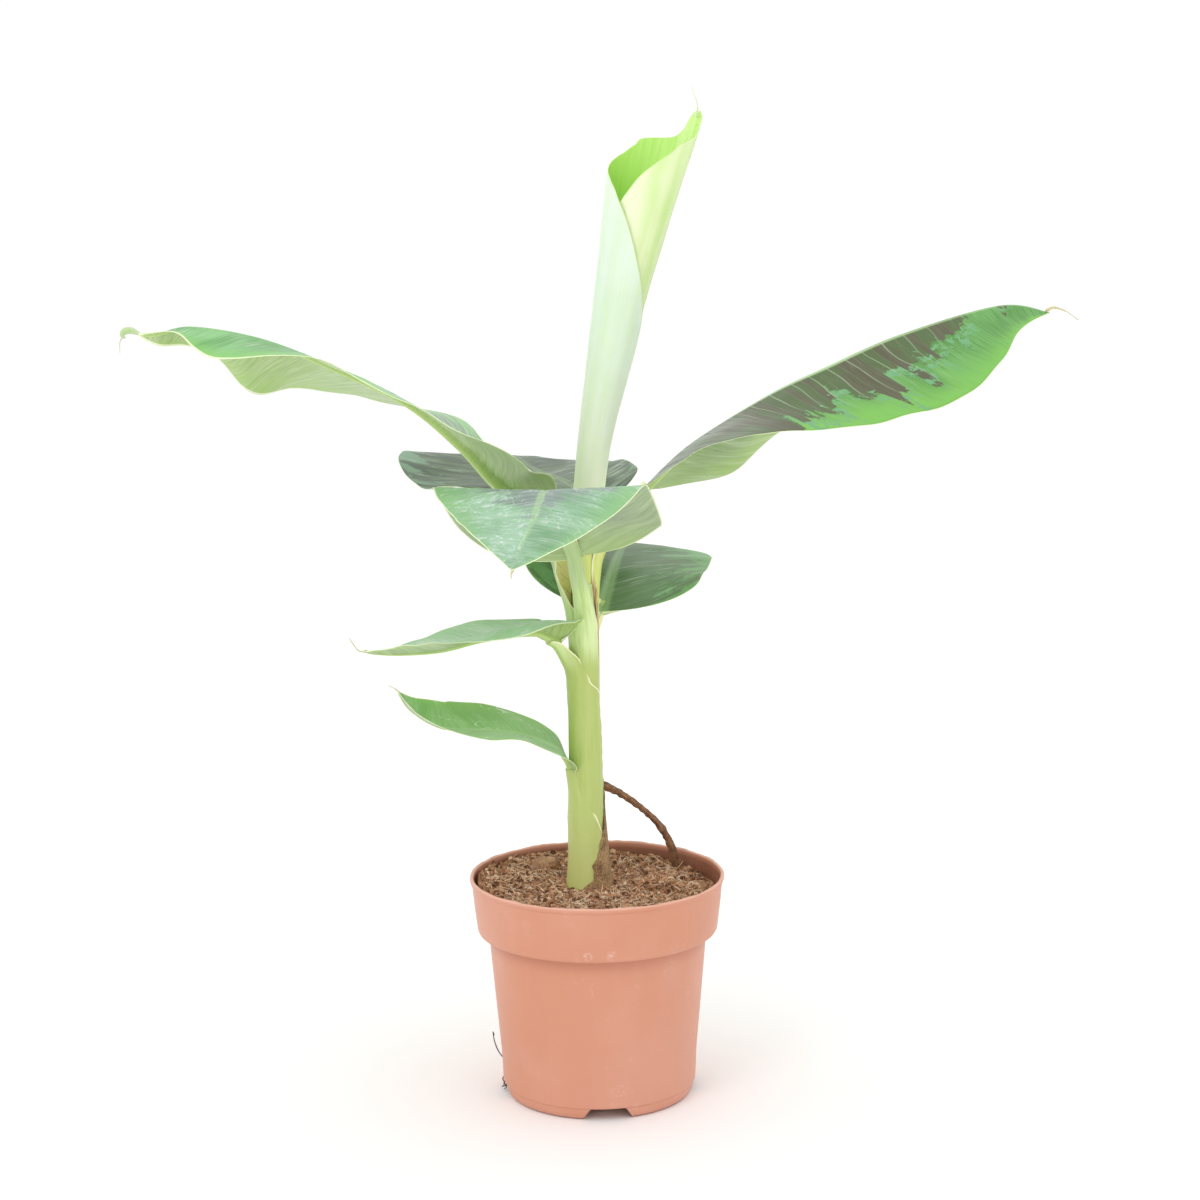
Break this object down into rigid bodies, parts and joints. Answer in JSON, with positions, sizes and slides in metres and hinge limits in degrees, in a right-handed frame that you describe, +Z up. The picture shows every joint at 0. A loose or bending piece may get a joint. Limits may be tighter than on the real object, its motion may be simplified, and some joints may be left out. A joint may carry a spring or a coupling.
{
  "type": "potted banana plant",
  "caption": "Young banana plant in a round plastic nursery pot: a short sheathed stem, broad arching leaves, one new leaf still rolled and a dry stalk on fibrous soil.",
  "frame": {"origin": "centre of the pot's flat underside, on the ground plane", "axes": "+Z up along the pot's axis; +Y towards the plant's back; +X towards the longest right-hand leaf"},
  "size_m": [0.7678, 0.5009, 0.8302],
  "materials": {
    "pot_plastic": "satin, finely scuffed",
    "fibre_soil": "matt, fibrous",
    "stem_sheath": "smooth, dry papery edges",
    "petiole_green": "smooth, faintly waxy",
    "leaf_blade": "satin, purple-brown marks by the midrib, pale waxy underside",
    "young_leaf": "satin, pale and waxy outside",
    "dry_tissue": "matt, ridged",
    "bark": "matt"
  },
  "bodies": {
    "root": {"pot": "pot_plastic", "soil": "fibre_soil", "pseudostem": "stem_sheath", "rolled_leaf_stalk": "petiole_green", "right_petiole": "petiole_green", "left_petiole": "petiole_green", "back_petiole": "petiole_green", "front_petiole": "petiole_green", "low_back_petiole": "petiole_green", "mid_left_petiole": "petiole_green", "low_left_petiole": "petiole_green", "right_leaf": "leaf_blade", "left_leaf": "leaf_blade", "back_leaf": "leaf_blade", "front_leaf": "leaf_blade", "low_back_leaf": "leaf_blade", "mid_left_leaf": "leaf_blade", "low_left_leaf": "leaf_blade", "rolled_leaf": "young_leaf", "dry_stalk": "dry_tissue", "bark_chip": "bark"}
  },
  "joints": []
}
